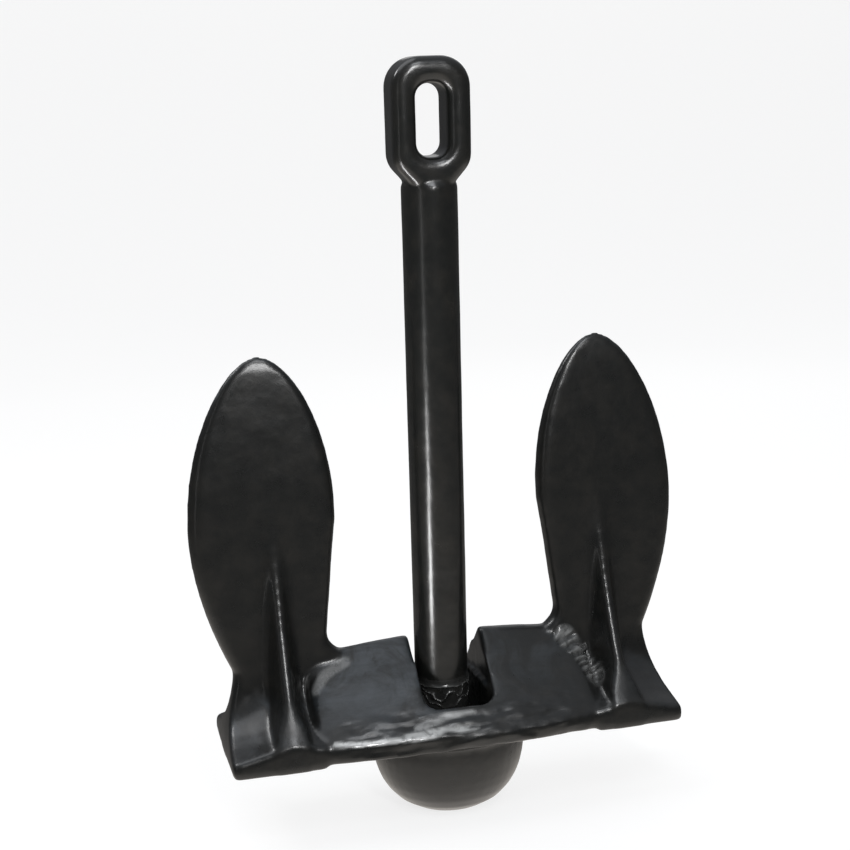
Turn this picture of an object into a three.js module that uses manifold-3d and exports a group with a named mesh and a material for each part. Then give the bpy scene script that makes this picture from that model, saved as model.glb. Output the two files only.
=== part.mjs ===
// Stockless boat anchor with a dipped coating: a one-piece head (two flukes, crown and boss),
// a round shank with a shackle eye, and the pin that the shank swings on.
// Millimetres. +Z up, +X across the flukes, -Y towards the front. The origin is on the floor.

import * as THREE from 'three';
import { mergeVertices } from 'three/addons/utils/BufferGeometryUtils.js';
import Module from 'manifold-3d';

const wasm = await Module();
wasm.setup();

// Heights below are measured from the crown's flat underside, which stands this far off the floor.
const CROWN_BASE_Z = 38;
// Clearance between pieces that touch.
const GAP = 0.3;
// Points closer than this are one point.
const WELD = 1e-4;
// Triangles flatter than this are merged away after the head's pieces are joined.
const SLIVER = 0.01;

const PIVOT = { z: -5, pinRadius: 6, pinHalfLength: 32, boreHalfLength: 32.6, segments: 40 };

const CROWN = {
  ridge: 45.5, ridgeFall: 3.5, ridgeSpan: 56, ridgeRadius: 5,
  depth: 35.5, bow: 4, bowSpan: 64, lip: 8.5, edge: 1.6, halfLength: 67.8, endRadius: 8, endDraw: 0.6,
  steps: 16, endSteps: 4, capSteps: 4,
};

const BOSS = {
  radius: 36.8, drop: 40.5, power: 2.5, squash: 0.95, tuck: 3, tuckRadius: 34, segments: 44, steps: 8,
};

const POCKET = {
  clearance: 1, foot: 15, mouth: 17, swing: THREE.MathUtils.degToRad(30.5), corner: 6, cornerShare: 0.98,
  top: 62, floorShare: 0.97, floorSteps: 5, steps: 14, cornerSteps: 4,
};

const BLADE = {
  ribX: 78.5, tipX: 80, tip: 182, widest: 105, halfWidth: 33.9, centre: 82.4, roundness: 0.6,
  innerEdge: 48.7, innerDrift: 7.5, innerSpan: 60, innerPower: 0.9,
  outerEdge: 116.3, outerTop: 103, outerDraw: 16, outerSpan: 65, outerPower: 1.9,
  thickness: 5.5, tipThin: 1.9, thinFrom: 110, thinTo: 175, tipPower: 6, tipStop: 0.05, rimPower: 2,
  filletX: 46.5, filletZ: 51, filletRadius: 9,
};

const RIB = {
  top: 115, foot: 12, power: 2, crest: 1.3, widen: 1.4, flare: 5.5, flareTop: 30, reach: 8.5, reachShare: 0.7,
  crestShare: 0.45, flankPower: 2.6,
};

const PALM = {
  bottom: -1.4, neck: 38, depth: 36.5, innerX: 63.5, innerFrom: 30, flareX: 6.6, flareBy: 0.75,
  skirtPower: 2.6,
  lipInner: 8.5, lipInnerRise: 3, lipOuter: 5.5, lipOuterRise: 6, edge: 0.9, blend: 1.4,
  ledgeFrom: 0.3, ledgePower: 4.2, rimPower: 8,
};

// Stations across half a fluke: shares of the rib's flank, then shares of the way out to the rim.
const FLANK_STATIONS = [0, 0.1, 0.25, 0.45, 0.7, 1];
const RIM_START = 0.84;
const RIM_STATIONS = [0.905, 0.955, 0.985];

// Rows up a fluke, counted in each of its stretches.
const ROWS = { palm: 5, skirt: 9, root: 5, blade: 7, tip: 11 };

const SHANK = {
  radius: 12.5, lean: THREE.MathUtils.degToRad(4.62), sideplay: -2.3, shoulder: 254, shoulderRise: 6,
  boreHalfLength: 25, segments: 44, steps: 7,
};

const EYE = {
  halfWidth: 17.6, top: 309.6, corner: 13, shoulder: 268.5, shoulderRadius: 11, rootHalfWidth: 7.6,
  shoulderTurn: THREE.MathUtils.degToRad(42), thickness: 22, edge: 4.6, edgeSteps: 4, arcSteps: 8,
  slotHalfWidth: 6.9, slotBottom: 267.2, slotTop: 298.2, slotCorner: 5.8,
};

const COAT = { color: 0x1c1d1c, roughness: 0.4, metalness: 0 };
const STEEL = { color: 0x6f7072, roughness: 0.45, metalness: 0.9 };

const { clamp, lerp, smoothstep } = THREE.MathUtils;

/** Evenly spaced values from a to b, both included. */
function spread(a, b, steps) {
  return Array.from({ length: steps + 1 }, (_, i) => lerp(a, b, i / steps));
}

/** Welded, position-only copy of a geometry. */
function welded(geometry) {
  const bare = geometry.clone();
  bare.deleteAttribute('normal');
  bare.deleteAttribute('uv');
  return mergeVertices(bare, WELD);
}

function toSolid(geometry) {
  const mesh = welded(geometry);
  return new wasm.Manifold(new wasm.Mesh({
    numProp: 3,
    vertProperties: Float32Array.from(mesh.attributes.position.array),
    triVerts: Uint32Array.from(mesh.index.array),
  }));
}

function toNode(name, solid, look) {
  const { vertProperties, triVerts } = solid.getMesh();
  const geometry = new THREE.BufferGeometry();
  geometry.setAttribute('position', new THREE.BufferAttribute(Float32Array.from(vertProperties), 3));
  geometry.setIndex(Array.from(triVerts));
  geometry.translate(0, 0, CROWN_BASE_Z);
  geometry.computeVertexNormals();
  const node = new THREE.Mesh(geometry, new THREE.MeshStandardMaterial(look));
  node.name = name;
  return node;
}

/** Closed skin over a stack of equal-length rings; each ring runs anticlockwise seen from the last ring. */
function loft(rings) {
  const size = rings[0].length;
  const points = rings.flat();
  const faces = [];
  for (let r = 0; r + 1 < rings.length; r += 1) {
    for (let i = 0; i < size; i += 1) {
      const a = r * size + i;
      const b = r * size + ((i + 1) % size);
      faces.push(a, b, b + size, a, b + size, a + size);
    }
  }
  capRing(points, faces, 0, size, true);
  capRing(points, faces, (rings.length - 1) * size, size, false);
  const geometry = new THREE.BufferGeometry();
  geometry.setAttribute('position', new THREE.Float32BufferAttribute(points.flat(), 3));
  geometry.setIndex(faces);
  return geometry;
}

/** Fan from a ring's middle point. */
function capRing(points, faces, first, size, flip) {
  const sum = [0, 0, 0];
  points.slice(first, first + size).forEach((point) => {
    point.forEach((value, axis) => { sum[axis] += value / size; });
  });
  const hub = points.push(sum) - 1;
  for (let i = 0; i < size; i += 1) {
    const a = first + i;
    const b = first + ((i + 1) % size);
    faces.push(...(flip ? [b, a, hub] : [a, b, hub]));
  }
}

// ---- Fluke: blade, rib and palm, drawn for the +X side --------------------------------------------

function bladeInner(z) {
  if (z > BLADE.widest) return bladeCentre(z) - bladeHalfWidth(z);
  const drift = ((BLADE.widest - z) / BLADE.innerSpan) ** BLADE.innerPower;
  const edge = BLADE.innerEdge + BLADE.innerDrift * drift;
  if (z > BLADE.filletZ) return edge;
  const rise = clamp(BLADE.filletZ - z, 0, BLADE.filletRadius);
  const fillet = BLADE.filletX + Math.sqrt(BLADE.filletRadius ** 2 - rise ** 2);
  return z > BLADE.filletZ - BLADE.filletRadius ? fillet : palmInner(z);
}

/** Inner end of the palm, buried in the crown until it reaches the step in the front lip. */
function palmInner(z) {
  const top = BLADE.filletZ - BLADE.filletRadius;
  return lerp(PALM.innerX, BLADE.filletX, clamp((z - PALM.innerFrom) / (top - PALM.innerFrom), 0, 1));
}

function bladeOuter(z) {
  if (z > BLADE.widest) return bladeCentre(z) + bladeHalfWidth(z);
  const draw = clamp((BLADE.outerTop - z) / BLADE.outerSpan, 0, 1) ** BLADE.outerPower;
  const flare = smoothstep((PALM.neck - z) / (PALM.neck - PALM.bottom), 0, PALM.flareBy);
  return BLADE.outerEdge - BLADE.outerDraw * draw + PALM.flareX * flare;
}

function tipFraction(z) {
  return clamp((z - BLADE.widest) / (BLADE.tip - BLADE.widest), 0, 1);
}

function bladeCentre(z) {
  return lerp(BLADE.centre, BLADE.tipX, tipFraction(z));
}

function bladeHalfWidth(z) {
  return BLADE.halfWidth * (1 - tipFraction(z) ** 2) ** BLADE.roundness;
}

function bladeThickness(z) {
  const thin = BLADE.thickness - BLADE.tipThin * smoothstep(z, BLADE.thinFrom, BLADE.thinTo);
  return thin * Math.sqrt(1 - tipFraction(z) ** BLADE.tipPower);
}

/** Height of the palm's front lip at a station. */
function lipTop(q, inner) {
  return inner ? PALM.lipInner + PALM.lipInnerRise * (1 - q) : PALM.lipOuter + PALM.lipOuterRise * (1 - q);
}

/** Row height at a station: rows bend so that one of them follows the top of the palm's lip. */
function rowHeight(v, q, inner) {
  if (v <= 0 || v >= PALM.neck) return v;
  const lip = lipTop(q, inner);
  if (v <= RIB.foot) return lip * (v / RIB.foot);
  return lerp(lip, PALM.neck, (v - RIB.foot) / (PALM.neck - RIB.foot));
}

/** Hollow skirt that falls from the palm's lip to the blade, and flattens to a ledge at the outer end. */
function skirtDepth(v, q, inner) {
  const ledge = inner ? 0 : smoothstep(q, PALM.ledgeFrom, 1);
  const power = lerp(PALM.skirtPower, PALM.ledgePower, ledge);
  const fall = clamp((PALM.neck - v) / (PALM.neck - RIB.foot), 0, 1) ** power;
  return lerp(bladeThickness(v), PALM.depth, fall);
}

/** Half the width of the rib's flat crest, which flares into the palm's lip at its foot. */
function crestHalf(v, span) {
  const widen = RIB.widen * clamp(1 - v / RIB.top, 0, 1);
  const flare = RIB.flare * (1 - smoothstep(v, RIB.foot, RIB.flareTop));
  return Math.min(RIB.crest + widen + flare, RIB.crestShare * span);
}

function flankReach(v, span) {
  return Math.min(RIB.reach, RIB.reachShare * span - crestHalf(v, span));
}

/** How far the front face stands off the fluke's middle plane. */
function faceDepth(v, q, span, inner) {
  const climb = clamp((RIB.top - v) / (RIB.top - RIB.foot), 0, 1) ** RIB.power;
  const away = clamp((q * span - crestHalf(v, span)) / flankReach(v, span), 0, 1);
  const rib = lerp(bladeThickness(v), PALM.depth, climb * (1 - away) ** RIB.flankPower);
  return softMax(skirtDepth(v, q, inner), rib, PALM.blend) * rimFactor(v, q);
}

/** Larger of two depths, rounded where they cross. */
function softMax(a, b, blend) {
  return (a + b + Math.hypot(a - b, blend) - blend) / 2;
}

/** Rim: a quarter round along the blade, squared off at the palm. */
function rimFactor(v, q) {
  const into = clamp((q - RIM_START) / (1 - RIM_START), 0, 1);
  const power = lerp(PALM.rimPower, BLADE.rimPower, smoothstep(v, RIB.foot, PALM.neck));
  return (1 - into ** power) ** (1 / power);
}

/** Stations from the rib's centre line to just inside the rim, as shares of the span. */
function stations(v, span) {
  const crest = crestHalf(v, span);
  const flank = FLANK_STATIONS.map((share) => (crest + share * flankReach(v, span)) / span);
  const panel = (flank.at(-1) + RIM_START) / 2;
  return [0, ...flank, panel, RIM_START, ...RIM_STATIONS];
}

/** One side of a ring: points from the rib's centre line out to the rim, on the front or the back. */
function halfRing(v, inner, side) {
  const inset = v === PALM.bottom ? PALM.edge : 0;
  const span = inner ? BLADE.ribX - bladeInner(v) : bladeOuter(v) - BLADE.ribX;
  return stations(v, span).map((q) => [
    BLADE.ribX + (inner ? -1 : 1) * (span - inset) * q,
    side * Math.max(0, faceDepth(v, q, span, inner) - inset * rimFactor(v, q)),
    rowHeight(v, q, inner),
  ]);
}

function rimPoint(v, inner) {
  const inset = v === PALM.bottom ? PALM.edge : 0;
  return [inner ? bladeInner(v) + inset : bladeOuter(v) - inset, 0, rowHeight(v, 1, inner)];
}

function flukeRing(v) {
  const frontInner = halfRing(v, true, -1).reverse();
  const frontOuter = halfRing(v, false, -1).slice(1);
  const backOuter = halfRing(v, false, 1).reverse();
  const backInner = halfRing(v, true, 1).slice(1);
  return [rimPoint(v, true), ...frontInner, ...frontOuter, rimPoint(v, false), ...backOuter, ...backInner];
}

function flukeRows() {
  const palm = [PALM.bottom, ...spread(0, RIB.foot, ROWS.palm)];
  const skirt = spread(RIB.foot, PALM.neck, ROWS.skirt).slice(1);
  const root = spread(PALM.neck, BLADE.filletZ, ROWS.root).slice(1);
  const blade = spread(BLADE.filletZ, BLADE.widest, ROWS.blade).slice(1);
  const bow = spread(0, Math.PI / 2, ROWS.tip).slice(1, -1);
  const tip = bow.map((angle) => lerp(BLADE.widest, BLADE.tip, Math.sin(angle)));
  return [...palm, ...skirt, ...root, ...blade, ...tip, BLADE.tip - BLADE.tipStop];
}

function fluke(side) {
  const solid = toSolid(loft(flukeRows().map(flukeRing)));
  return side > 0 ? solid : solid.mirror([1, 0, 0]);
}

// ---- Crown and boss --------------------------------------------------------------------------------

/** How far the crown has rounded over towards its end at a station along X. */
function endRound(x) {
  const into = clamp((Math.abs(x) - CROWN.halfLength + CROWN.endRadius) / CROWN.endRadius, 0, 1);
  return CROWN.endRadius * (1 - Math.sqrt(1 - into ** 2));
}

/** Half of the crown's outline at a station along X, from the underside's edge up to the ridge. */
function crownHalf(x) {
  const ridge = CROWN.ridge - CROWN.ridgeFall * (x / CROWN.ridgeSpan) ** 2 - endRound(x);
  const bow = CROWN.bow * (1 - (x / CROWN.bowSpan) ** 2);
  const depth = CROWN.depth + bow - CROWN.endDraw * endRound(x);
  const centre = ridge - CROWN.ridgeRadius;
  const reach = Math.hypot(depth, centre - CROWN.lip);
  const slope = Math.atan2(centre - CROWN.lip, depth) + Math.asin(CROWN.ridgeRadius / reach);
  const cap = spread(Math.PI / 2 - slope, Math.PI / 2, CROWN.capSteps).map((angle) => [
    CROWN.ridgeRadius * Math.cos(angle), centre + CROWN.ridgeRadius * Math.sin(angle),
  ]);
  return [
    [depth - CROWN.edge, 0], [depth, CROWN.edge], [depth, CROWN.lip - CROWN.edge],
    [depth - CROWN.edge * Math.cos(slope), CROWN.lip + CROWN.edge * Math.sin(slope) / 2], ...cap,
  ];
}

function crownStations() {
  const straight = CROWN.halfLength - CROWN.endRadius;
  const turns = spread(0, Math.PI / 2, CROWN.endSteps + 1).slice(1, -1);
  const end = turns.map((angle) => straight + CROWN.endRadius * Math.sin(angle));
  return [...end.map((x) => -x).reverse(), ...spread(-straight, straight, CROWN.steps), ...end];
}

function crown() {
  const rings = crownStations().map((x) => {
    const half = crownHalf(x);
    const back = half.map(([y, z]) => [x, y, z]);
    const front = half.slice(0, -1).reverse().map(([y, z]) => [x, -y, z]);
    return [...back, ...front];
  });
  return toSolid(loft(rings));
}

/** Bowl-shaped boss under the crown, with a flat foot. */
function boss() {
  const bowl = spread(-CROWN_BASE_Z, 0, BOSS.steps).map((z) => {
    const radius = BOSS.radius * (1 - (-z / BOSS.drop) ** BOSS.power) ** (1 / BOSS.power);
    return new THREE.Vector2(radius, z);
  });
  const profile = [
    new THREE.Vector2(0, -CROWN_BASE_Z), ...bowl,
    new THREE.Vector2(BOSS.tuckRadius, BOSS.tuck), new THREE.Vector2(0, BOSS.tuck),
  ];
  const geometry = new THREE.LatheGeometry(profile, BOSS.segments);
  geometry.rotateX(Math.PI / 2);
  geometry.scale(1, BOSS.squash, 1);
  return toSolid(geometry);
}

// ---- Window, pocket and pin ------------------------------------------------------------------------

function roundedRing(halfX, halfY, z) {
  const radius = Math.min(POCKET.corner, halfX, halfY) * POCKET.cornerShare;
  const corners = [[1, -1], [1, 1], [-1, 1], [-1, -1]];
  return corners.flatMap(([sx, sy], index) => spread(0, Math.PI / 2, POCKET.cornerSteps).map((turn) => {
    const angle = turn + (index - 1) * (Math.PI / 2);
    return [
      sx * (halfX - radius) + radius * Math.cos(angle), sy * (halfY - radius) + radius * Math.sin(angle), z,
    ];
  }));
}

/** Room for the shank's round foot, opening upwards to both swing limits. */
function pocket() {
  const radius = SHANK.radius + POCKET.clearance;
  const tangent = -radius * Math.sin(POCKET.swing);
  const floor = -radius * POCKET.floorShare;
  const round = spread(floor, tangent, POCKET.floorSteps);
  const heights = [...round, ...spread(tangent, POCKET.top, POCKET.steps).slice(1)];
  return toSolid(loft(heights.map((height) => {
    const arc = Math.sqrt(Math.max(0, radius ** 2 - height ** 2));
    const straight = (radius + height * Math.sin(POCKET.swing)) / Math.cos(POCKET.swing);
    const halfY = height < tangent ? arc : straight;
    const halfX = lerp(POCKET.foot, POCKET.mouth, clamp(height / CROWN.ridge, 0, 1));
    return roundedRing(halfX, halfY, PIVOT.z + height);
  })));
}

function crossCylinder(radius, halfLength) {
  const geometry = new THREE.CylinderGeometry(radius, radius, 2 * halfLength, PIVOT.segments);
  geometry.rotateZ(Math.PI / 2);
  geometry.translate(0, 0, PIVOT.z);
  return toSolid(geometry);
}

function head() {
  const body = crown().add(boss()).add(fluke(1)).add(fluke(-1));
  const bored = body.subtract(pocket()).subtract(crossCylinder(PIVOT.pinRadius + GAP, PIVOT.boreHalfLength));
  return bored.simplify(SLIVER);
}

// ---- Shank -----------------------------------------------------------------------------------------

/** Round bar with a ball foot about the pivot and a rounded shoulder inside the eye. */
function bar() {
  const foot = spread(-Math.PI / 2, 0, SHANK.steps).map((angle) => new THREE.Vector2(
    SHANK.radius * Math.cos(angle), PIVOT.z + SHANK.radius * Math.sin(angle),
  ));
  const shoulder = spread(0, Math.PI / 2, SHANK.steps).map((angle) => new THREE.Vector2(
    SHANK.radius * Math.cos(angle), SHANK.shoulder + SHANK.shoulderRise * Math.sin(angle),
  ));
  const profile = [...foot, ...shoulder];
  profile[0].x = 0;
  profile[profile.length - 1].x = 0;
  const geometry = new THREE.LatheGeometry(profile, SHANK.segments);
  geometry.rotateX(Math.PI / 2);
  return toSolid(geometry);
}

/** Outline with rounded top corners and round shoulders that run in to a narrow root inside the bar. */
function eyeOutline() {
  const { halfWidth, top, corner, shoulder, shoulderRadius, shoulderTurn, rootHalfWidth } = EYE;
  const turnX = halfWidth - shoulderRadius + shoulderRadius * Math.cos(shoulderTurn);
  const turnZ = shoulder - shoulderRadius * Math.sin(shoulderTurn);
  const root = turnZ - (turnX - rootHalfWidth) / Math.tan(shoulderTurn);
  const shape = new THREE.Shape();
  shape.moveTo(-rootHalfWidth, root);
  shape.lineTo(rootHalfWidth, root);
  shape.absarc(halfWidth - shoulderRadius, shoulder, shoulderRadius, -shoulderTurn, 0, false);
  shape.absarc(halfWidth - corner, top - corner, corner, 0, Math.PI / 2, false);
  shape.absarc(corner - halfWidth, top - corner, corner, Math.PI / 2, Math.PI, false);
  shape.absarc(shoulderRadius - halfWidth, shoulder, shoulderRadius, Math.PI, Math.PI + shoulderTurn, false);
  shape.closePath();
  shape.holes.push(slotOutline());
  return shape;
}

function slotOutline() {
  const slot = new THREE.Path();
  const acrossX = EYE.slotHalfWidth - EYE.slotCorner;
  const high = EYE.slotTop - EYE.slotCorner;
  const low = EYE.slotBottom + EYE.slotCorner;
  const corners = [[acrossX, high], [-acrossX, high], [-acrossX, low], [acrossX, low]];
  corners.forEach(([x, z], index) => {
    const start = index * (Math.PI / 2);
    slot.absarc(x, z, EYE.slotCorner, start, start + Math.PI / 2, false);
  });
  slot.closePath();
  return slot;
}

function eye() {
  const geometry = new THREE.ExtrudeGeometry(eyeOutline(), {
    depth: EYE.thickness - 2 * EYE.edge, steps: 1, curveSegments: EYE.arcSteps, bevelEnabled: true,
    bevelThickness: EYE.edge, bevelSize: EYE.edge, bevelOffset: -EYE.edge, bevelSegments: EYE.edgeSteps,
  });
  geometry.rotateX(Math.PI / 2);
  geometry.translate(0, EYE.thickness / 2 - EYE.edge, 0);
  return toSolid(geometry);
}

function shank() {
  const upright = bar().add(eye()).subtract(crossCylinder(PIVOT.pinRadius + GAP, SHANK.boreHalfLength));
  const degrees = THREE.MathUtils.radToDeg(SHANK.lean);
  return upright.translate([0, 0, -PIVOT.z]).rotate([degrees, 0, 0]).translate([SHANK.sideplay, 0, PIVOT.z]);
}

const anchor = new THREE.Group();
anchor.name = 'stockless_anchor';
anchor.add(toNode('head', head(), COAT));
anchor.add(toNode('shank', shank(), COAT));
anchor.add(toNode('crown_pin', crossCylinder(PIVOT.pinRadius, PIVOT.pinHalfLength), STEEL));

export default anchor;
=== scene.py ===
"""Dip-coated stockless anchor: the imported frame, dressed with its finished shapes and coating."""

import logging
import math
from dataclasses import dataclass, field
from enum import Enum
from typing import Any, Callable, Sequence

import bmesh
import bpy
from mathutils import Matrix, Vector, noise


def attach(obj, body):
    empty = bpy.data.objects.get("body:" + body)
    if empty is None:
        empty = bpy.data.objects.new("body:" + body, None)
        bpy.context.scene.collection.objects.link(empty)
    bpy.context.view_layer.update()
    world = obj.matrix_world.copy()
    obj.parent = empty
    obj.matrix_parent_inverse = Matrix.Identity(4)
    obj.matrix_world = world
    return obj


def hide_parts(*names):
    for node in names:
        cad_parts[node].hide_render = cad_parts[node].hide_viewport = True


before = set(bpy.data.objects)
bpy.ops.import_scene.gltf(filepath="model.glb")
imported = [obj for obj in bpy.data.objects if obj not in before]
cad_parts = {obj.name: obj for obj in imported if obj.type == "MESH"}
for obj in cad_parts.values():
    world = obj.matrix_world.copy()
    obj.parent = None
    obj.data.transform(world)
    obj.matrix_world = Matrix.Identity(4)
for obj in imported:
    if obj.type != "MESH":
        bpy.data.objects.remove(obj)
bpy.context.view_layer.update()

LOG = logging.getLogger("anchor")
MM = 0.001
PIVOT = Vector((0.0, 0.0, 33.0 * MM))
SHANK_LEAN = math.radians(4.62)
WELD = 0.01 * MM
GRAIN_FALL = 1.0
GRAIN_STEP = 2.0

Colour = tuple[float, float, float]
Span = tuple[float, float]
Relief = Callable[[Vector], float]


class Body(Enum):
    """The two bodies that the pieces ride on."""

    HEAD = "head_body"
    SHANK = "shank_body"


class Slot(Enum):
    """The record's material slot of the replaced pieces."""

    COAT = "dip_coat"


class Mark(Enum):
    """Attributes that the pieces carry for their finish."""

    # Upward share of the normal, which places the painted sheen.
    UPWARD = "upward"
    # Share of pale paint that stands in for highlights on folds, beads and the crown's edges: painted
    # highlight.
    RUBBED = "painted_highlight"


def smooth_step(value: float, low: float, high: float) -> float:
    """Return 0 below low, 1 above high, and a smooth ramp between.

    Args:
        value: Number to test.
        low: Where the ramp starts.
        high: Where the ramp ends.

    Returns:
        A number from 0 to 1.
    """
    span = min(max((value - low) / (high - low), 0.0), 1.0)
    return span * span * (3.0 - 2.0 * span)


def band(value: float, low: float, high: float, soft: float) -> float:
    """Return 1 between low and high, fading to 0 over soft on each side.

    Args:
        value: Number to test.
        low: Lower edge of the band.
        high: Upper edge of the band.
        soft: Width of each fade.

    Returns:
        A number from 0 to 1.
    """
    return smooth_step(value, low - soft, low) * (1.0 - smooth_step(value, high, high + soft))


@dataclass(frozen=True)
class Noise:
    """The shape of one fractal noise: cells per metre, octaves, and how it is roughened and drawn out."""

    scale: float
    detail: float
    rough: float
    twist: float = 0.0
    stretch: tuple[float, float, float] = (1.0, 1.0, 1.0)


# ---- Shader expressions -----------------------------------------------------------------------------


class Val:
    """A shader socket that Python arithmetic can be written on."""

    def __init__(self, board: "Board", socket: bpy.types.NodeSocket) -> None:
        """Wrap a socket.

        Args:
            board: The node tree that the socket is on.
            socket: The output socket.
        """
        self.board = board
        self.socket = socket

    def _math(self, operation: str, first: Any, second: Any) -> "Val":
        """Add one Math node and return its output."""
        return self.board.add("ShaderNodeMath", {"operation": operation}, {0: first, 1: second})

    def __add__(self, other: Any) -> "Val":
        """Return self + other."""
        return self._math("ADD", self, other)

    def __radd__(self, other: Any) -> "Val":
        """Return other + self."""
        return self._math("ADD", other, self)

    def __sub__(self, other: Any) -> "Val":
        """Return self - other."""
        return self._math("SUBTRACT", self, other)

    def __rsub__(self, other: Any) -> "Val":
        """Return other - self."""
        return self._math("SUBTRACT", other, self)

    def __mul__(self, other: Any) -> "Val":
        """Return self * other."""
        return self._math("MULTIPLY", self, other)

    def __rmul__(self, other: Any) -> "Val":
        """Return other * self."""
        return self._math("MULTIPLY", other, self)

    def smooth(self, low: float, high: float) -> "Val":
        """Return a smooth ramp from 0 at low to 1 at high.

        Args:
            low: Value that maps to 0.
            high: Value that maps to 1.

        Returns:
            The ramp's output.
        """
        settings = {"interpolation_type": "SMOOTHSTEP"}
        return self.board.add(
            "ShaderNodeMapRange", settings, {"Value": self, "From Min": low, "From Max": high}
        )

    def spread(self, low: float, high: float) -> "Val":
        """Map 0..1 onto low..high.

        Args:
            low: Result at 0.
            high: Result at 1.

        Returns:
            The mapped value.
        """
        return self.board.add("ShaderNodeMapRange", {}, {"Value": self, "To Min": low, "To Max": high})


class Board:
    """A material's node tree, built by expressions."""

    def __init__(self, name: str) -> None:
        """Start a material with an empty tree.

        Args:
            name: The material's name.
        """
        self.material = bpy.data.materials.new(name)
        self.material.use_nodes = True
        self.tree = self.material.node_tree
        self.tree.nodes.clear()

    def add(
        self, kind: str, settings: dict[str, Any] | None = None, values: dict[Any, Any] | None = None,
        output: Any = 0,
    ) -> Val:
        """Add a node.

        Args:
            kind: The node's type.
            settings: Node attributes, set first.
            values: Socket name or index to a number, a tuple or a Val.
            output: Name or index of the output wanted.

        Returns:
            The chosen output.
        """
        node = self.tree.nodes.new(kind)
        for key, value in (settings or {}).items():
            setattr(node, key, value)
        for key, value in (values or {}).items():
            self._plug(node.inputs[key], value)
        return Val(self, node.outputs[output])

    def _plug(self, socket: bpy.types.NodeSocket, value: Any) -> None:
        """Link a Val to a socket, or set its constant.

        Args:
            socket: The input socket.
            value: A Val to link, or a constant to store.
        """
        if isinstance(value, Val):
            self.tree.links.new(value.socket, socket)
        else:
            socket.default_value = value

    @staticmethod
    def fill_ramp(node: bpy.types.Node, stops: Sequence[tuple[float, Colour]]) -> None:
        """Set a colour ramp's stops.

        Args:
            node: The ramp's node.
            stops: Each stop's place from 0 to 1, and its colour.
        """
        ramp = node.color_ramp
        while len(ramp.elements) < len(stops):
            ramp.elements.new(1.0)
        for element, (place, colour) in zip(ramp.elements, stops):
            element.position = place
            element.color = (*colour, 1.0)

    def place(self) -> Val:
        """Return the piece's own coordinates."""
        return self.add("ShaderNodeTexCoord", output="Object")

    def axes(self) -> tuple[Val, Val, Val]:
        """Split the piece's own coordinates.

        Returns:
            X, Y and Z.
        """
        split = self.add("ShaderNodeSeparateXYZ", {}, {0: self.place()})
        node = split.socket.node
        return tuple(Val(self, node.outputs[index]) for index in range(3))

    def reading(self, mark: Mark) -> Val:
        """Return the value that a piece carries at each point, or 0 where it carries none."""
        return self.add("ShaderNodeAttribute", {"attribute_name": mark.value}, output="Fac")

    def noise(self, shape: Noise) -> Val:
        """Return fractal noise from 0 to 1.

        Args:
            shape: The noise's shape.

        Returns:
            The noise's factor.
        """
        at = self.add("ShaderNodeMapping", {}, {"Vector": self.place(), "Scale": shape.stretch})
        values = {"Vector": at, "Scale": shape.scale, "Detail": shape.detail}
        values.update({"Roughness": shape.rough, "Distortion": shape.twist})
        return self.add("ShaderNodeTexNoise", {}, values)

    def blend(self, factor: Val | float, first: Any, second: Any) -> Val:
        """Mix two colours.

        Args:
            factor: 0 gives first, 1 gives second.
            first: Colour or Val.
            second: Colour or Val.

        Returns:
            The mixed colour.
        """
        node = self.tree.nodes.new("ShaderNodeMix")
        node.data_type = "RGBA"
        self._plug(node.inputs["Factor"], factor)
        for socket, value in zip((node.inputs[6], node.inputs[7]), (first, second)):
            self._plug(socket, value if isinstance(value, Val) else (*value, 1.0))
        return Val(self, node.outputs[2])

    def bump(self, height: Val, distance: float, strength: float, under: Val | None = None) -> Val:
        """Return a normal raised by height.

        Args:
            height: Relief from 0 to 1.
            distance: Real height of the relief, in metres.
            strength: How much of it shows.
            under: A normal that this one adds to.

        Returns:
            The normal.
        """
        values: dict[str, Any] = {"Height": height, "Distance": distance, "Strength": strength}
        if under is not None:
            values["Normal"] = under
        return self.add("ShaderNodeBump", {}, values)

    def finish(self, sockets: dict[str, Any]) -> bpy.types.Material:
        """Close the tree with a Principled shader.

        Args:
            sockets: Socket name to a number, a tuple or a Val.

        Returns:
            The material.
        """
        shader = self.add("ShaderNodeBsdfPrincipled", {}, sockets, "BSDF")
        self.add_output(shader)
        return self.material

    def add_output(self, shader: Val) -> None:
        """Link a shader to a new material output."""
        node = self.tree.nodes.new("ShaderNodeOutputMaterial")
        self.tree.links.new(shader.socket, node.inputs["Surface"])


# ---- Finishes ----------------------------------------------------------------------------------------


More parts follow.
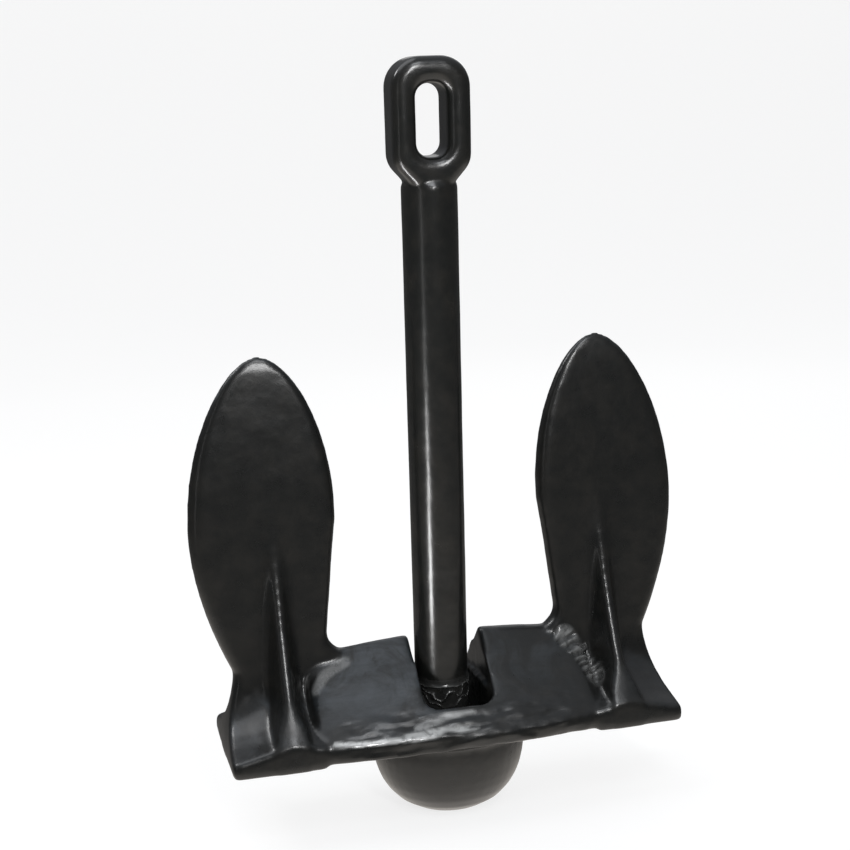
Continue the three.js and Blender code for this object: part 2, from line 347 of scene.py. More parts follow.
@dataclass(frozen=True)
class DipCoat:
    """Satin black dipped vinyl with a mottled bloom and painted sheen, and painted highlights on folds and
    edges.
    """

    name: str
    black: Colour = (0.0062, 0.0067, 0.0064)
    warm: Colour = (0.0100, 0.0096, 0.0084)
    # Bluish grey of the mottled bloom, which also paints the sheen of the overhead light on what faces up.
    bloom_and_sheen: Colour = (0.044, 0.052, 0.060)
    # Pale colour painted where highlights fall: painted highlight.
    painted_highlight: Colour = (0.42, 0.425, 0.42)
    roughness: float = 0.29
    bloom_and_sheen_amount: float = 0.0
    # Share of the painted sheen left at the +X side, away from the light.
    sheen_far_side: float = 0.35
    specular: float = 0.5
    index: float = 1.5
    top_coat: float = 0.18
    top_coat_roughness: float = 0.14
    # Patterns, then the range of each that counts, then what it does.
    patches: Noise = Noise(120.0, 4.0, 0.6)
    specks: Noise = Noise(900.0, 3.0, 0.6)
    breaks: Noise = Noise(180.0, 3.0, 0.6, 0.5)
    clouds: Noise = Noise(42.0, 6.0, 0.70, 0.9)
    streaks: Noise = Noise(85.0, 5.0, 0.7, 0.4, (0.35, 1.0, 1.0))
    ripples: Noise = Noise(95.0, 2.0, 0.5)
    skin: Noise = Noise(1500.0, 2.0, 0.5)
    warm_range: Span = (0.35, 0.75)
    break_range: Span = (0.18, 0.52)
    cloud_range: Span = (0.40, 0.62)
    streak_range: Span = (0.30, 0.70)
    side_range: Span = (-0.020, 0.045)
    rise_range: Span = (0.046, 0.063)
    upward_range: Span = (0.30, 0.70)
    patch_gloss: Span = (-0.05, 0.06)
    speck_gloss: Span = (-0.03, 0.03)
    bloom_and_sheen_gloss: float = 0.10
    painted_highlight_gloss: float = 0.14
    streak_gain: Span = (0.40, 1.6)
    patch_gain: Span = (0.5, 1.4)
    rise_gain: Span = (0.30, 1.0)
    ripple_height: float = 0.8 * MM
    skin_height: float = 0.06 * MM
    relief_strength: float = 0.35

    def material(self) -> bpy.types.Material:
        """Build the coating's node tree.

        Returns:
            The material.
        """
        board = Board(self.name)
        patch = board.noise(self.patches)
        speck = board.noise(self.specks)
        bloom_and_sheen_share = self._bloom_and_sheen(board, patch)
        # Painted highlight: pale colour where the piece carries it, broken up by noise, and glossier there.
        painted_highlight_share = board.reading(Mark.RUBBED) * board.noise(self.breaks).smooth(*self.break_range)
        colour = board.blend(patch.smooth(*self.warm_range), self.black, self.warm)
        # Mottled bloom and painted sheen of the overhead light.
        colour = board.blend(bloom_and_sheen_share, colour, self.bloom_and_sheen)
        colour = board.blend(painted_highlight_share, colour, self.painted_highlight)
        rough = self.roughness + patch.spread(*self.patch_gloss) + speck.spread(*self.speck_gloss)
        rough = rough + bloom_and_sheen_share * self.bloom_and_sheen_gloss
        return board.finish({
            "Base Color": colour,
            "Roughness": rough - painted_highlight_share * self.painted_highlight_gloss,
            "Normal": self._relief(board),
            "Specular IOR Level": self.specular,
            "Coat Weight": self.top_coat,
            "Coat Roughness": self.top_coat_roughness,
            "IOR": self.index,
        })

    def _bloom_and_sheen(self, board: Board, patch: Val) -> Val:
        """Return the mottled bloom with painted sheen: lighter on what faces up, higher up the crown and
        towards -X, where the light falls.

        Args:
            board: The board that the coating is wired on.
            patch: Large soft patches, shared with the coating's colour.

        Returns:
            The share of bloom.
        """
        across, _, up = board.axes()
        cloud = board.noise(self.clouds)
        streak = board.noise(self.streaks)
        # Painted sheen: lighter towards -X, where the light falls, on what faces up, and higher up the
        # crown.
        side = 1.0 - across.smooth(*self.side_range) * (1.0 - self.sheen_far_side)
        mottle = cloud.smooth(*self.cloud_range)
        mottle = mottle * streak.smooth(*self.streak_range).spread(*self.streak_gain)
        upward = board.reading(Mark.UPWARD).smooth(*self.upward_range)
        rise = up.smooth(*self.rise_range).spread(*self.rise_gain)
        return mottle * patch.spread(*self.patch_gain) * side * rise * upward * self.bloom_and_sheen_amount

    def _relief(self, board: Board) -> Val:
        """Return the normal with flow ripples and a fine skin.

        Args:
            board: The board that the coating is wired on.

        Returns:
            The normal.
        """
        ripple = board.noise(self.ripples)
        skin = board.noise(self.skin)
        normal = board.bump(ripple, self.ripple_height, self.relief_strength)
        return board.bump(skin, self.skin_height, self.relief_strength, normal)


@dataclass(frozen=True)
class TurnedSteel:
    """Plain turned steel of the hidden pin."""

    name: str
    bright: Colour = (0.42, 0.42, 0.43)
    dull: Colour = (0.25, 0.25, 0.26)
    metallic: float = 0.9
    rings: Noise = Noise(260.0, 3.0, 0.6, 0.0, (6.0, 0.4, 0.4))
    stains: Noise = Noise(70.0, 4.0, 0.6)
    stain_range: Span = (0.4, 0.7)
    roughness: Span = (0.32, 0.5)
    ring_height: float = 0.05 * MM
    ring_strength: float = 0.4

    def material(self) -> bpy.types.Material:
        """Build the steel's node tree.

        Returns:
            The material.
        """
        board = Board(self.name)
        rings = board.noise(self.rings)
        stain = board.noise(self.stains)
        return board.finish({
            "Base Color": board.blend(stain.smooth(*self.stain_range), self.bright, self.dull),
            "Metallic": self.metallic,
            "Roughness": rings.spread(*self.roughness),
            "Normal": board.bump(rings, self.ring_height, self.ring_strength),
        })


@dataclass(frozen=True)
class PalePaint:
    """Plain off-white of the studio's floor and wall, which glows a little of its own."""

    name: str
    tone: Colour = (0.30, 0.30, 0.30)
    shade: float = 0.97
    clouds: Noise = Noise(3.0, 2.0, 0.5)
    roughness: float = 0.9
    specular: float = 0.1
    glow: float = 0.78

    def material(self) -> bpy.types.Material:
        """Build the paint's node tree.

        Returns:
            The material.
        """
        board = Board(self.name)
        cloud = board.noise(self.clouds)
        colour = board.blend(cloud, self.tone, tuple(part * self.shade for part in self.tone))
        return board.finish({
            "Base Color": colour, "Roughness": self.roughness, "Specular IOR Level": self.specular,
            "Emission Color": (1.0, 1.0, 1.0, 1.0), "Emission Strength": self.glow,
        })


# ---- Modelling bench ---------------------------------------------------------------------------------


class Bench:
    """Small wrappers round the modelling operators."""

    @staticmethod
    def clear() -> None:
        """Leave edit mode and deselect everything."""
        if bpy.context.object and bpy.context.object.mode != "OBJECT":
            bpy.ops.object.mode_set(mode="OBJECT")
        bpy.ops.object.select_all(action="DESELECT")

    @staticmethod
    def take(piece: bpy.types.Object) -> None:
        """Select one piece and make it active.

        Args:
            piece: The piece.
        """
        Bench.clear()
        piece.select_set(True)
        bpy.context.view_layer.objects.active = piece

    @staticmethod
    def copy_of(node: bpy.types.Object, name: str) -> bpy.types.Object:
        """Copy a frame node into a free piece with a merged mesh of its own.

        Args:
            node: The frame's node.
            name: The new piece's name.

        Returns:
            The new piece.
        """
        piece = node.copy()
        piece.data = node.data.copy()
        piece.parent = None
        piece.matrix_world = Matrix.Identity(4)
        for key in list(piece.keys()):
            if key.startswith("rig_"):
                del piece[key]
        piece.name = name
        piece.data.name = name
        piece.data.materials.clear()
        bpy.context.scene.collection.objects.link(piece)
        Bench.take(piece)
        bpy.ops.object.mode_set(mode="EDIT")
        bpy.ops.mesh.select_all(action="SELECT")
        bpy.ops.mesh.remove_doubles(threshold=WELD)
        bpy.ops.mesh.normals_make_consistent(inside=False)
        bpy.ops.object.mode_set(mode="OBJECT")
        return piece

    @staticmethod
    def modify(piece: bpy.types.Object, kind: str, **settings: Any) -> None:
        """Add a modifier and apply it at once.

        Args:
            piece: The piece to change.
            kind: The modifier's type.
            **settings: The modifier's attributes.
        """
        Bench.take(piece)
        modifier = piece.modifiers.new(kind.title(), kind)
        for key, value in settings.items():
            setattr(modifier, key, value)
        bpy.ops.object.modifier_apply(modifier=modifier.name)

    @staticmethod
    def refine(piece: bpy.types.Object, wanted: Callable[[Vector], bool], cuts: int) -> None:
        """Subdivide the faces whose centre is wanted.

        Args:
            piece: The piece to edit.
            wanted: Tests a face's centre.
            cuts: Cuts across each edge.
        """
        Bench.take(piece)
        bpy.ops.object.mode_set(mode="EDIT")
        bpy.ops.mesh.select_mode(type="FACE")
        mesh = bmesh.from_edit_mesh(piece.data)
        for face in mesh.faces:
            face.select_set(wanted(face.calc_center_median()))
        mesh.select_flush_mode()
        bmesh.update_edit_mesh(piece.data)
        bpy.ops.mesh.subdivide(number_cuts=cuts, smoothness=0.0)
        bpy.ops.object.mode_set(mode="OBJECT")

    @staticmethod
    def push(piece: bpy.types.Object, height: Relief) -> None:
        """Move the surface along its normals.

        Args:
            piece: The piece to change.
            height: Gives the move at a point, in metres.
        """
        normals = [vertex.normal.copy() for vertex in piece.data.vertices]
        for vertex, normal in zip(piece.data.vertices, normals):
            vertex.co += normal * height(vertex.co)
        piece.data.update()

    @staticmethod
    def rebore(piece: bpy.types.Object, radius: float, reach: float, slack: float) -> None:
        """Put the wall and the ends of a bore about the pivot back in place after smoothing.

        Args:
            piece: The piece with the bore.
            radius: The bore's true radius.
            reach: Half the bore's length.
            slack: How far from its place the wall is looked for.
        """
        for vertex in piece.data.vertices:
            across = Vector((0.0, vertex.co.y - PIVOT.y, vertex.co.z - PIVOT.z))
            if across.length > radius + slack or abs(vertex.co.x) > reach + slack:
                continue
            if across.length > radius - 2.0 * slack:
                vertex.co += across.normalized() * (radius - across.length)
            if abs(vertex.co.x) > reach - 2.0 * slack:
                vertex.co.x = math.copysign(reach, vertex.co.x)
        piece.data.update()

    @staticmethod
    def carry(piece: bpy.types.Object, mark: Mark, values: Sequence[float]) -> None:
        """Store one value for each vertex, for the finish to read.

        Args:
            piece: The piece.
            mark: The attribute.
            values: The values, in the order of the vertices.
        """
        layer = piece.data.attributes.new(mark.value, "FLOAT", "POINT")
        layer.data.foreach_set("value", list(values))

    @staticmethod
    def smooth_shade(piece: bpy.types.Object) -> None:
        """Shade a piece smooth all over."""
        Bench.take(piece)
        bpy.ops.object.shade_smooth()

    @staticmethod
    def declare(
        piece: bpy.types.Object, body: Body, slot: Slot, material: bpy.types.Material, node: str
    ) -> None:
        """Dress a piece and tie it to the frame.

        Args:
            piece: The finished piece.
            body: The body that it moves with.
            slot: Its material slot; not used.
            material: Its finish.
            node: The frame node that it stands for.
        """
        piece.data.materials.clear()
        piece.data.materials.append(material)
        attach(piece, body.value)
        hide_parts(node)
        LOG.info("%s: %d faces", piece.name, len(piece.data.polygons))


# ---- Sub-assemblies ----------------------------------------------------------------------------------


def grain(point: Vector, size: Vector | float, octaves: int = 2) -> float:
    """Return smooth noise from about -1 to 1.

    Args:
        point: Where to read it.
        size: Size of the pattern, in metres, one for each axis or one for all.
        octaves: How many finer copies are added.

    Returns:
        The noise.
    """
    scale = size if isinstance(size, Vector) else Vector((size, size, size))
    place = Vector((point.x / scale.x, point.y / scale.y, point.z / scale.z))
    return noise.fractal(place, GRAIN_FALL, GRAIN_STEP, octaves)


def fold(phase: float) -> float:
    """Return a row of sharp-topped folds, one for each whole step of the phase."""
    return 1.0 - abs(math.sin(math.pi * phase))


@dataclass(frozen=True)
class Trail:
    """A broken line over a surface, along which the coating is crumpled or rubbed."""

    corners: tuple[Vector, ...]
    radius: float
    fade: float = 0.55

    def nearest(self, point: Vector) -> tuple[float, float]:
        """Find the nearest place on the line.

        Args:
            point: The point to test.

        Returns:
            Its distance from the line, and how far along the line it lies.
        """
        best, run, passed = math.inf, 0.0, 0.0
        for start, end in zip(self.corners, self.corners[1:]):
            along = end - start
            share = min(max((point - start).dot(along) / along.length_squared, 0.0), 1.0)
            gap = (point - start - along * share).length
            if gap < best:
                best, run = gap, passed + along.length * share
            passed += along.length
        return best, run

    def weight(self, point: Vector) -> float:
        """Return 1 on the line, fading to 0 at the radius."""
        return smooth_step(self.radius - self.nearest(point)[0], 0.0, self.radius * self.fade)


@dataclass(frozen=True)
class Crumple:
    """Folds of loose coating along the inner root of the +X fluke."""

    trail: Trail = Trail(
        corners=(
            Vector((58.5, -7.0, 75.5)) * MM, Vector((63.5, -10.0, 69.5)) * MM,
            Vector((67.0, -14.0, 63.0)) * MM, Vector((68.5, -18.0, 58.0)) * MM,
        ),
        radius=6.8 * MM,
    )
    pitch: float = 6.0 * MM
    depth: float = 1.5 * MM
    sink: float = 0.35
    wander: float = 0.9
    wander_size: float = 13.0 * MM
    slant: float = 18.0 * MM
    fold_share: float = 0.8
    fold_power: float = 1.6
    grain_share: float = 0.25
    grain_size: float = 5.0 * MM

    def covers(self, point: Vector) -> bool:
        """Return whether a point lies on the folds."""
        return self.trail.weight(point) > 0.0

    def height(self, point: Vector) -> float:
        """Return how far the folds stand up.

        Args:
            point: Where to read it, in metres.

        Returns:
            The relief, in metres.
        """
        weight = self.trail.weight(point)
        if weight == 0.0:
            return 0.0
        return weight * self.depth * (self.folds(point) - self.sink)

    def folds(self, point: Vector) -> float:
        """Return the rounded folds across the trail.

        Args:
            point: Where to read it, in metres.

        Returns:
            0 in a trough, about 1 on a top.
        """
        run = self.trail.nearest(point)[1]
        wander = self.wander * grain(point, self.wander_size) + (point.x - point.z) / self.slant
        wave = 0.5 + 0.5 * math.cos(math.tau * (run / self.pitch + wander))
        return self.fold_share * wave ** self.fold_power + self.grain_share * grain(point, self.grain_size)


@dataclass(frozen=True)
class LipWaves:
    """Long low waves in the coating along the crown's front and back edges."""

    low: float = 40.0 * MM
    high: float = 53.0 * MM
    soft: float = 4.0 * MM
    proud: Span = (24.0 * MM, 31.0 * MM)
    ends: Span = (48.0 * MM, 60.0 * MM)
    depth: float = 0.8 * MM
    size: Vector = Vector((16.0, 5.0, 4.5)) * MM
    octaves: int = 3

    def height(self, point: Vector) -> float:
        """Return how far the waves stand up.

        Args:
            point: Where to read it, in metres.

        Returns:
            The relief, in metres.
        """
        high = band(point.z, self.low, self.high, self.soft)
        proud = smooth_step(abs(point.y), *self.proud)
        weight = high * proud * (1.0 - smooth_step(abs(point.x), *self.ends))
        if weight == 0.0:
            return 0.0
        return weight * self.depth * grain(point, self.size, self.octaves)


@dataclass(frozen=True)
class WallLedge:
    """The run of set coating on the pocket's +X wall, with a bead along its top."""

    wall: Span = (14.5 * MM, 17.0 * MM)
    wall_soft: float = 1.0 * MM
    mouth: Span = (16.0 * MM, 24.0 * MM)
    foot: Span = (40.0 * MM, 50.0 * MM)
    top: float = 61.0 * MM
    top_wander: float = 1.5 * MM
    top_size: float = 9.0 * MM
    top_below: float = 1.0 * MM
    top_above: float = 1.2 * MM
    bead_width: float = 1.1 * MM
    bead_share: float = 0.3
    fold_pitch: float = 4.0 * MM
    fold_size: float = 5.0 * MM
    fold_share: float = 0.35
    body_share: float = 0.45
    bulge: float = 2.4 * MM

    def height(self, point: Vector) -> float:
        """Return how far the ledge stands off the wall.

        Args:
            point: Where to read it, in metres.

        Returns:
            The relief, in metres.
        """
        wall = band(point.x, *self.wall, self.wall_soft)
        wall *= 1.0 - smooth_step(abs(point.y), *self.mouth)
        if wall == 0.0:
            return 0.0
        top = self.top + self.top_wander * grain(point, self.top_size)
        run = smooth_step(point.z, *self.foot)
        run *= 1.0 - smooth_step(point.z, top - self.top_below, top + self.top_above)
        bead = math.exp(-((point.z - top + self.top_below) / self.bead_width) ** 2)
        crumple = self.fold_share * fold(point.z / self.fold_pitch + grain(point, self.fold_size))
        return wall * self.bulge * (run * (self.body_share + crumple) + self.bead_share * bead)


@dataclass(frozen=True)
class HeadFlow:
    """The faint thick-and-thin of the head's dipped skin, still at the flat foot and the bore."""

    foot: Span = (1.0 * MM, 6.0 * MM)
    clear: float = 15.0 * MM
    depth: float = 0.16 * MM
    size: float = 26.0 * MM

    def height(self, point: Vector) -> float:
        """Return how far the skin swells.

        Args:
            point: Where to read it, in metres.

        Returns:
            The relief, in metres.
        """
        off_floor = smooth_step(point.z, *self.foot)
        clear = 1.0 if math.hypot(point.y - PIVOT.y, point.z - PIVOT.z) > self.clear else 0.0
        return off_floor * clear * self.depth * grain(point, self.size)


@dataclass(frozen=True)
class HeadPaintedHighlights:
    """Where pale paint stands in for highlights on the head: on its folds, and in streaks along the crown's
    edges.
    """

    crumple: Crumple = Crumple()
    # Painted highlight over the crumple, palest on the fold tops.
    fold_base: float = 0.12
    fold_gain: float = 0.36
    # Painted highlight of the light on the crown's -X shoulder.
    shoulder: Trail = Trail(
        corners=(
            Vector((-64.8, -14.1, 66.9)) * MM, Vector((-59.1, -9.8, 72.0)) * MM,
            Vector((-49.0, -6.9, 76.0)) * MM,
        ),
        radius=3.4 * MM,
    )
    shoulder_share: float = 0.30
    # Painted highlights along the crown's front edge, lip and slope.
    edge: Trail = Trail(
        corners=(
            Vector((-60.0, -34.5, 47.4)) * MM, Vector((-45.0, -36.6, 46.8)) * MM,
            Vector((-27.0, -37.9, 46.7)) * MM,
        ),
        radius=1.7 * MM,
    )
    lip: Trail = Trail(
        corners=(
            Vector((-28.0, -37.6, 47.0)) * MM, Vector((-13.0, -37.4, 48.0)) * MM,
            Vector((4.0, -36.6, 48.9)) * MM,
        ),
        radius=3.0 * MM,
    )
    slope: Trail = Trail(
        corners=(
            Vector((-22.0, -34.9, 50.4)) * MM, Vector((-6.7, -32.6, 52.9)) * MM,
            Vector((4.0, -32.7, 52.8)) * MM,
        ),
        radius=2.6 * MM,
    )
    slope_share: float = 0.6
    streaks_off_centre: float = 25.0 * MM
    streaks_below: float = 60.0 * MM
    break_size: Vector = Vector((15.0, 5.0, 3.5)) * MM
    break_range: Span = (-0.30, 0.20)

    def weight(self, point: Vector) -> float:
        """Return how much pale paint stands in for highlights.

        Args:
            point: Where to read it, in metres.

        Returns:
            0 for black, 1 for full painted highlight.
        """
        pale = max(self._on_folds(point), self.shoulder_share * self.shoulder.weight(point))
        if abs(point.y) < self.streaks_off_centre or point.z > self.streaks_below:
            return pale
        broken = smooth_step(grain(point, self.break_size), *self.break_range)
        streaks = max(self.lip.weight(point), self.slope_share * self.slope.weight(point))
        return max(pale, broken * streaks, self.edge.weight(point))

    def _on_folds(self, point: Vector) -> float:
        """Return the painted highlight on the folds of the crumple.

        Args:
            point: Where to read it, in metres.

        Returns:
            0 for black, 1 for fully rubbed.
        """
        crease = self.crumple.trail.weight(point)
        if crease == 0.0:
            return 0.0
        return crease * (self.fold_base + self.fold_gain * max(0.0, self.crumple.folds(point)))


@dataclass
class Head:
    """The one-piece head: flukes, crown and boss under one skin of coating."""

    voxel: float = 1.2 * MM
    softness: float = 0.5
    passes: int = 8
    bore_radius: float = 6.35 * MM
    bore_reach: float = 32.6 * MM
    bore_slack: float = 0.6 * MM
    crumple: Crumple = Crumple()
    crumple_cuts: int = 2
    lip_waves: LipWaves = LipWaves()
    ledge: WallLedge = WallLedge()
    flow: HeadFlow = HeadFlow()
    painted_highlights: HeadPaintedHighlights = HeadPaintedHighlights()
    # Amount of mottled bloom and painted sheen on the head.
    bloom_and_sheen: float = 0.62

    def build(self) -> bpy.types.Object:
        """Model and dress the head.

        Returns:
            The finished piece.
        """
        piece = Bench.copy_of(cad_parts["head"], "anchor_head")
        Bench.modify(piece, "REMESH", mode="VOXEL", voxel_size=self.voxel, adaptivity=0.0)
        Bench.modify(piece, "SMOOTH", factor=self.softness, iterations=self.passes)
        Bench.rebore(piece, self.bore_radius, self.bore_reach, self.bore_slack)
        Bench.refine(piece, self.crumple.covers, self.crumple_cuts)
        for relief in (self.crumple, self.lip_waves, self.ledge, self.flow):
            Bench.push(piece, relief.height)
        Bench.smooth_shade(piece)
        vertices = piece.data.vertices
        # Upward share places the painted sheen; the pale share paints highlights.
        Bench.carry(piece, Mark.UPWARD, [vertex.normal.z for vertex in vertices])
        Bench.carry(piece, Mark.RUBBED, [self.painted_highlights.weight(vertex.co) for vertex in vertices])
        finish = DipCoat("coat_head", bloom_and_sheen_amount=self.bloom_and_sheen)
        Bench.declare(piece, Body.HEAD, Slot.COAT, finish.material(), "head")
        return piece


def up_the_shank(point: Vector) -> float:
    """Return a point's distance above the pivot, along the leaning shank."""
    offset = point - PIVOT
    return -offset.y * math.sin(SHANK_LEAN) + offset.z * math.cos(SHANK_LEAN)


@dataclass(frozen=True)
class Collar:
    """The crumpled coating round the foot of the bar, under a bead along its top edge."""

    low: float = 17.0 * MM
    high: float = 29.0 * MM
    below: float = 2.0 * MM
    beyond: float = 3.0 * MM
    top_wander: float = 1.0 * MM
    top_size: float = 14.0 * MM
    top_fade: float = 1.0 * MM
    foot_fade: float = 3.0 * MM
    bead_width: float = 0.8 * MM
    bead_height: float = 0.6 * MM
    fold_pitch: float = 5.5 * MM
    fold_wander: float = 1.6
    fold_size: float = 9.0 * MM
    fold_height: float = 0.75 * MM
    fold_power: int = 2
    grain_height: float = 0.10 * MM
    grain_size: float = 2.5 * MM
    # Painted light: a faint pale fill over the collar, which the pocket shades, and painted highlights on
    # fold tops and the bead.
    painted_fill_base: float = 0.03
    painted_highlight_gain: float = 0.7
    painted_highlight_range: Span = (0.50 * MM, 0.74 * MM)

    def covers(self, point: Vector) -> bool:
        """Return whether a point lies on the collar or its edges."""
        return self.low - self.below < up_the_shank(point) < self.high + self.beyond

    def height(self, point: Vector) -> float:
        """Return how far the collar stands off the bar.

        Args:
            point: Where to read it, in metres.

        Returns:
            The relief, in metres.
        """
        if not self.covers(point):
            return 0.0
        above = up_the_shank(point)
        top = self.high + self.top_wander * grain(point, self.top_size)
        bead = math.exp(-((above - top) / self.bead_width) ** 2)
        skirt = smooth_step(above, self.low, self.low + self.foot_fade)
        skirt *= 1.0 - smooth_step(above, top - self.top_fade, top)
        wrinkle = fold(above / self.fold_pitch + self.fold_wander * grain(point, self.fold_size))
        rough = self.grain_height * grain(point, self.grain_size)
        return self.bead_height * bead + skirt * (self.fold_height * wrinkle ** self.fold_power + rough)

    def painted_highlight(self, point: Vector) -> float:
        """Return the painted light on the collar: a faint pale fill where the pocket shades it, and painted
        highlights, palest on the tops of the folds and on the bead.

        Args:
            point: Where to read it, in metres.

        Returns:
            0 for black, 1 for fully rubbed.
        """
        if not self.covers(point):
            return 0.0
        return self.painted_fill_base + self.painted_highlight_gain * smooth_step(self.height(point), *self.painted_highlight_range)


@dataclass(frozen=True)
class BarFlow:
    """The faint unevenness of the dipped bar, above the collar."""

    start: Span = (30.0 * MM, 40.0 * MM)
    depth: float = 0.10 * MM
    size: float = 24.0 * MM

    def height(self, point: Vector) -> float:
        """Return how far the skin swells."""
        return smooth_step(up_the_shank(point), *self.start) * self.depth * grain(point, self.size)


@dataclass
class Shank:
    """The round shank with its shackle eye and the crumpled collar of coating at its foot."""

    voxel: float = 0.85 * MM
    softness: float = 0.5
    passes: int = 4
    bore_radius: float = 6.35 * MM
    bore_reach: float = 20.0 * MM
    bore_slack: float = 0.5 * MM
    collar: Collar = Collar()
    collar_cuts: int = 1
    flow: BarFlow = BarFlow()
    roughness: float = 0.24

    def build(self) -> bpy.types.Object:
        """Model and dress the shank.

        Returns:
            The finished piece.
        """
        piece = Bench.copy_of(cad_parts["shank"], "anchor_shank")
        Bench.modify(piece, "REMESH", mode="VOXEL", voxel_size=self.voxel, adaptivity=0.0)
        Bench.modify(piece, "SMOOTH", factor=self.softness, iterations=self.passes)
        Bench.rebore(piece, self.bore_radius, self.bore_reach, self.bore_slack)
        Bench.refine(piece, self.collar.covers, self.collar_cuts)
        for relief in (self.collar, self.flow):
            Bench.push(piece, relief.height)
        Bench.smooth_shade(piece)
        # Painted fill and highlights on the collar.
        painted_highlight = [self.collar.painted_highlight(vertex.co) for vertex in piece.data.vertices]
        Bench.carry(piece, Mark.RUBBED, painted_highlight)
        finish = DipCoat("coat_shank", roughness=self.roughness)
        Bench.declare(piece, Body.SHANK, Slot.COAT, finish.material(), "shank")
        return piece


@dataclass
class CrownPin:
    """The hidden pin, kept as its frame node with a finish of its own."""

    def build(self) -> bpy.types.Object:
        """Dress the pin.

        Returns:
            The frame's node.
        """
        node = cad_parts["crown_pin"]
        node.data.materials.clear()
        node.data.materials.append(TurnedSteel("pin_turned_steel").material())
        LOG.info("crown_pin: dressed")
        return node


# ---- Studio ------------------------------------------------------------------------------------------

COOL: Colour = (0.95, 0.97, 1.0)

# The dome's colour by direction, from straight down at 0 to straight up at 1.
DOME: tuple[tuple[float, Colour], ...] = (
    (0.0, (1.0, 0.94, 0.88)), (0.24, (0.85, 0.80, 0.74)), (0.32, (0.22, 0.21, 0.20)),
    (0.42, (0.08, 0.08, 0.08)), (0.62, (0.09, 0.09, 0.095)), (1.0, (0.50, 0.52, 0.55)),
)


@dataclass
class Camera:
    """The studio camera."""

    place: Vector = Vector((-0.1643, -0.6551, 0.2903))
    yaw: float = 13.75
    pitch: float = 9.09
    roll: float = -2.66
    lens: float = 62.5
    sensor: float = 36.0
    clip: Span = (0.01, 50.0)

    def build(self) -> None:
        """Make the camera and set it as the scene's own."""
        yaw, pitch, roll = (math.radians(value) for value in (self.yaw, self.pitch, self.roll))
        ahead = Vector((math.sin(yaw) * math.cos(pitch), math.cos(yaw) * math.cos(pitch), -math.sin(pitch)))
        right = Vector((math.cos(yaw), -math.sin(yaw), 0.0))
        over = right.cross(ahead)
        side = right * math.cos(roll) + over * math.sin(roll)
        top = over * math.cos(roll) - right * math.sin(roll)
        data = bpy.data.cameras.new("studio_camera")
        data.lens = self.lens
        data.sensor_width = self.sensor
        data.clip_start, data.clip_end = self.clip
        camera = bpy.data.objects.new("studio_camera", data)
        turn = Matrix((side, top, -ahead)).transposed().to_4x4()
        camera.matrix_world = Matrix.Translation(self.place) @ turn
        bpy.context.scene.collection.objects.link(camera)
        bpy.context.scene.camera = camera


@dataclass
class Lamp:
    """One soft rectangular light aimed at a point."""

    name: str
    place: Vector
    aim: Vector
    size: tuple[float, float]
    power: float
    tint: Colour = (1.0, 1.0, 1.0)

    def build(self) -> None:
        """Add the light; its long side stays level unless it points straight up or down."""
        data = bpy.data.lights.new(self.name, "AREA")
        data.shape = "RECTANGLE"
        data.size, data.size_y = self.size
        data.energy = self.power
        data.color = self.tint
        lamp = bpy.data.objects.new(self.name, data)
        lamp.location = self.place
        lamp.rotation_euler = (self.aim - self.place).to_track_quat("-Z", "Y").to_euler()
        lamp.visible_camera = False
        bpy.context.scene.collection.objects.link(lamp)


@dataclass
class FloorStrip:
    """A long light lying on the floor and facing up, which draws the bright line on the shank."""

    subject: bpy.types.Object
    near_end: Vector = Vector((-0.158, -0.138, 0.003))
    far_end: Vector = Vector((-0.490, -0.426, 0.003))
    width: float = 0.042
    power: float = 1.9

    def build(self) -> None:
        """Add the light."""
        data = bpy.data.lights.new("floor_strip", "AREA")
        data.shape = "RECTANGLE"
        run = self.far_end - self.near_end
        data.size, data.size_y = run.length, self.width
        data.energy = self.power
        lamp = bpy.data.objects.new("floor_strip", data)
        lamp.location = (self.near_end + self.far_end) / 2.0
        lamp.rotation_euler = (math.pi, 0.0, math.atan2(run.y, run.x))
        lamp.visible_camera = False
        bpy.context.scene.collection.objects.link(lamp)
        lit = bpy.data.collections.new("strip_lit")
        lit.objects.link(self.subject)
        lamp.light_linking.receiver_collection = lit


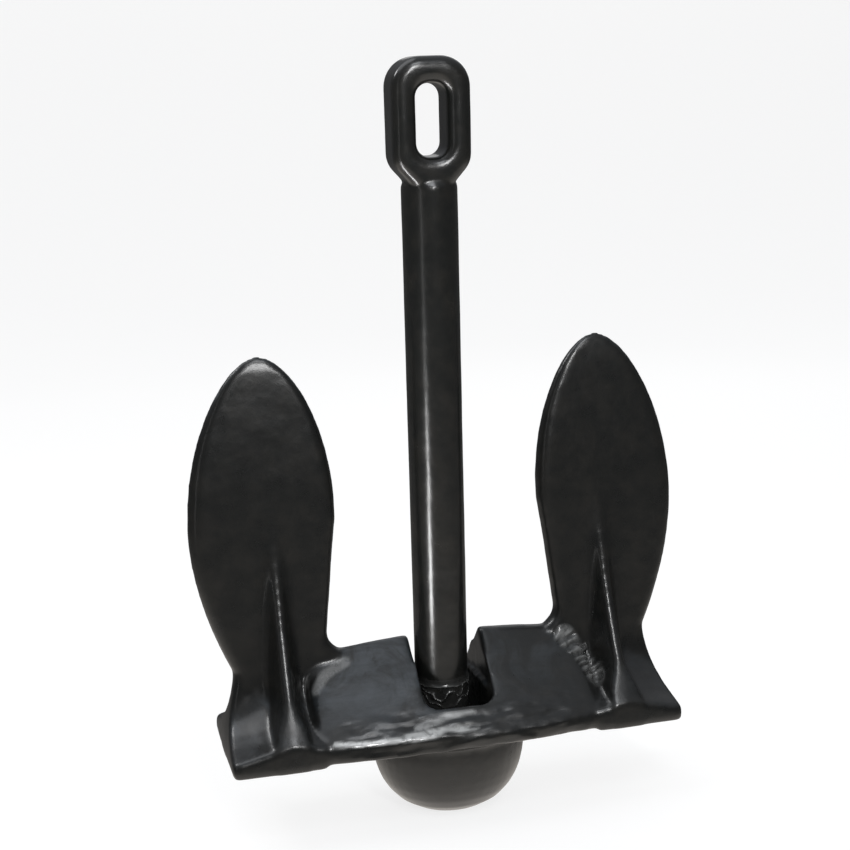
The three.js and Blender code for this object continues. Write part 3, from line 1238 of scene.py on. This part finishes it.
@dataclass
class Studio:
    """Pale floor that curves up into a back wall, soft lights and camera."""

    shank: bpy.types.Object
    front: float = -4.0
    back: float = 2.6
    half_width: float = 4.0
    wall_height: float = 3.5
    curve: float = 1.0
    curve_segments: int = 16
    slack: float = 0.01
    lamps: tuple[Lamp, ...] = field(default_factory=lambda: (
        Lamp("overhead", Vector((-0.45, 0.10, 1.4)), Vector((0.0, 0.0, 0.1)), (0.9, 0.9), 4.0, COOL),
        Lamp("crown_high", Vector((0.03, -0.62, 0.80)), Vector((-0.02, 0.0, 0.07)), (0.24, 0.34), 1.6, COOL),
        Lamp("lip_light", Vector((0.06, -0.92, 0.52)), Vector((-0.02, 0.0, 0.05)), (0.15, 0.20), 3.0),
        Lamp("left_high", Vector((-0.75, 0.40, 0.95)), Vector((-0.05, 0.0, 0.07)), (0.24, 0.24), 2.0),
        Lamp("left_strip", Vector((-1.1, -0.95, 0.35)), Vector((0.0, 0.0, 0.15)), (0.08, 1.0), 0.5),
        Lamp("back_fill", Vector((0.6, 1.3, 0.9)), Vector((0.0, 0.0, 0.15)), (0.9, 0.9), 1.6),
    ))

    def build(self) -> None:
        """Build the set."""
        self._floor()
        self._world()
        for lamp in (*self.lamps, FloorStrip(self.shank)):
            lamp.build()
        Camera().build()
        LOG.info("studio: %d lights", len(self.lamps) + 1)

    def _floor(self) -> None:
        """Add the floor, with its back edge drawn up into a wall over a wide curve."""
        Bench.clear()
        middle = (self.front + self.back) / 2.0
        bpy.ops.mesh.primitive_plane_add(size=1.0, location=(0.0, 0.0, 0.0))
        floor = bpy.context.object
        floor.name = "studio_floor"
        bpy.ops.object.mode_set(mode="EDIT")
        bpy.ops.transform.resize(value=(2.0 * self.half_width, self.back - self.front, 1.0))
        bpy.ops.transform.translate(value=(0.0, middle, 0.0))
        self._select_edges(floor, self._at_back)
        bpy.ops.mesh.extrude_region_move(TRANSFORM_OT_translate={"value": (0.0, 0.0, self.wall_height)})
        self._select_edges(floor, lambda point: self._at_back(point) and point.z < self.slack)
        bpy.ops.mesh.bevel(offset=self.curve, segments=self.curve_segments, profile=0.5, affect="EDGES")
        bpy.ops.object.mode_set(mode="OBJECT")
        floor.data.materials.append(PalePaint("studio_paint").material())
        Bench.smooth_shade(floor)
        floor.visible_glossy = False

    def _at_back(self, point: Vector) -> bool:
        """Return whether a point lies at the floor's back edge or above it."""
        return point.y > self.back - self.slack

    @staticmethod
    def _select_edges(piece: bpy.types.Object, wanted: Callable[[Vector], bool]) -> None:
        """Select just the edges whose both ends are wanted.

        Args:
            piece: A piece in edit mode.
            wanted: Tests an end.
        """
        bpy.ops.mesh.select_mode(type="EDGE")
        bpy.ops.mesh.select_all(action="DESELECT")
        mesh = bmesh.from_edit_mesh(piece.data)
        for edge in mesh.edges:
            if all(wanted(vertex.co) for vertex in edge.verts):
                edge.select_set(True)
        bmesh.update_edit_mesh(piece.data)

    def _world(self) -> None:
        """Light the set with a soft dome that is darkest near the horizon."""
        world = bpy.data.worlds.new("studio_dome")
        world.use_nodes = True
        tree = world.node_tree
        tree.nodes.clear()
        coords = tree.nodes.new("ShaderNodeTexCoord")
        split = tree.nodes.new("ShaderNodeSeparateXYZ")
        ramp = tree.nodes.new("ShaderNodeValToRGB")
        lift = tree.nodes.new("ShaderNodeMapRange")
        lift.inputs["From Min"].default_value = -1.0
        back = tree.nodes.new("ShaderNodeBackground")
        out = tree.nodes.new("ShaderNodeOutputWorld")
        Board.fill_ramp(ramp, DOME)
        for source, target in (
            (coords.outputs["Generated"], split.inputs[0]), (split.outputs[2], lift.inputs["Value"]),
            (lift.outputs[0], ramp.inputs[0]), (ramp.outputs[0], back.inputs["Color"]),
            (back.outputs[0], out.inputs["Surface"]),
        ):
            tree.links.new(source, target)
        bpy.context.scene.world = world


def main() -> None:
    """Build every sub-assembly in order."""
    logging.basicConfig(level=logging.INFO, format="%(name)s %(message)s")
    bpy.context.scene.view_settings.view_transform = "Standard"
    Head().build()
    shank = Shank().build()
    CrownPin().build()
    Studio(shank).build()


if __name__ == "__main__":
    main()
